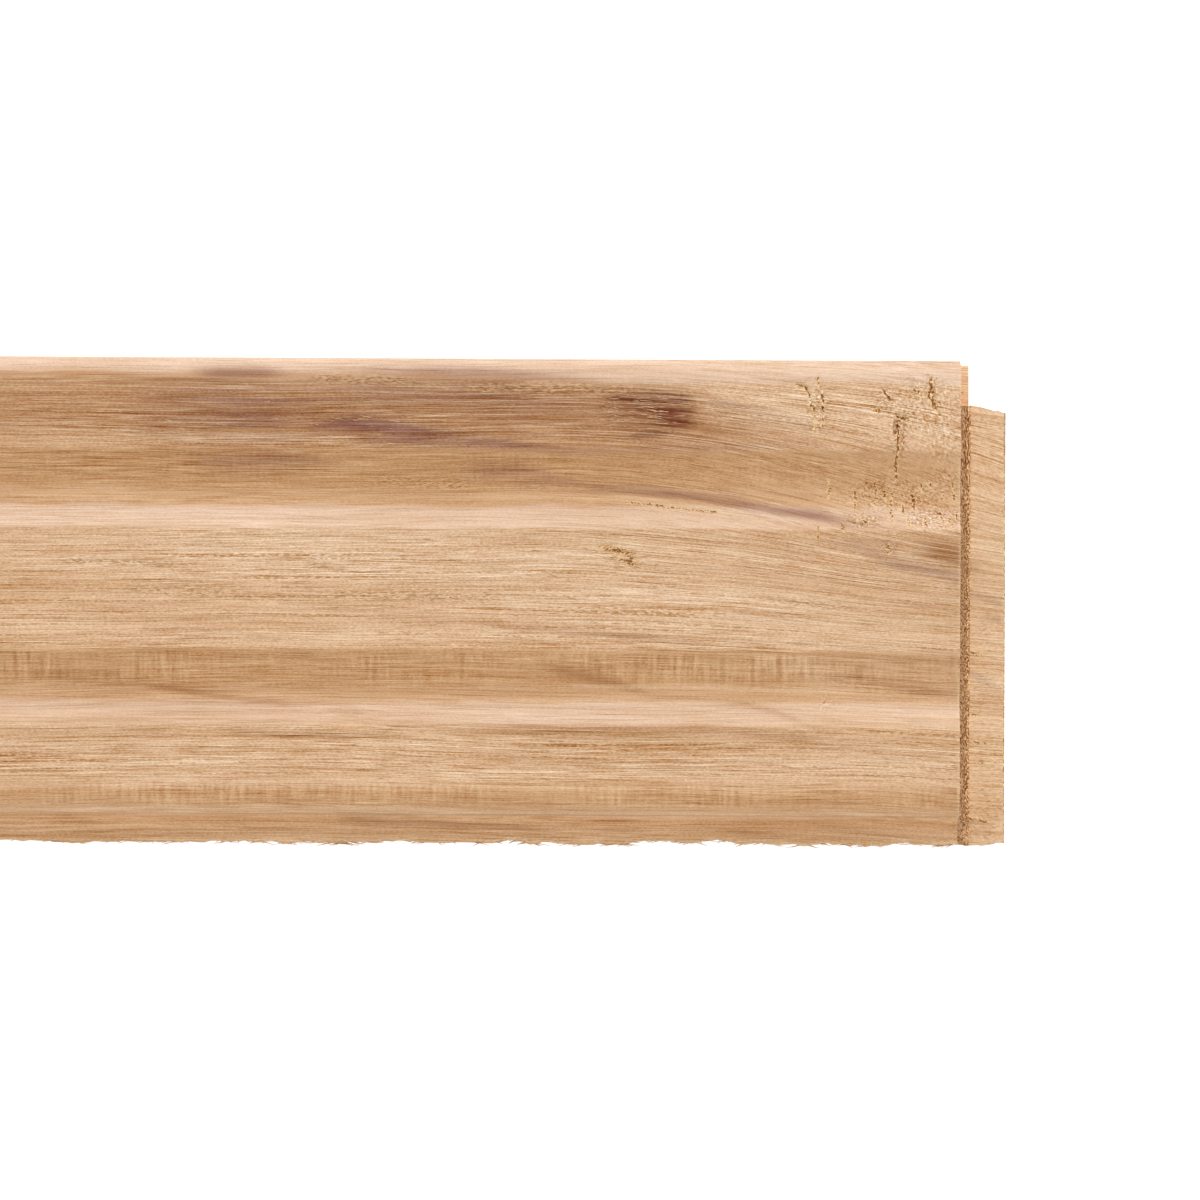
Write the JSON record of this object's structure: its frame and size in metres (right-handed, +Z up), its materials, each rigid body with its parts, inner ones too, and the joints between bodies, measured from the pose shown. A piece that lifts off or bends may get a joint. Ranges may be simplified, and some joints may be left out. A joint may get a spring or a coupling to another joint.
{
  "type": "tongue and groove floorboard",
  "caption": "Solid hardwood floorboard with a tongue and a groove along its sides, a tongue and a groove at its ends, and shallow relief channels in its underside.",
  "frame": {"origin": "middle of the board's outline, tongues included, on the floor that its face lies on", "axes": "+X along the grain towards the tongued end, +Y across the board towards the grooved side, +Z up, out of the underside, because the board lies with its face down"},
  "size_m": [0.9208, 0.0876, 0.0191],
  "materials": {
    "wood": "bare, planed and unfinished"
  },
  "bodies": {
    "root": {"floorboard": "wood"}
  },
  "joints": []
}
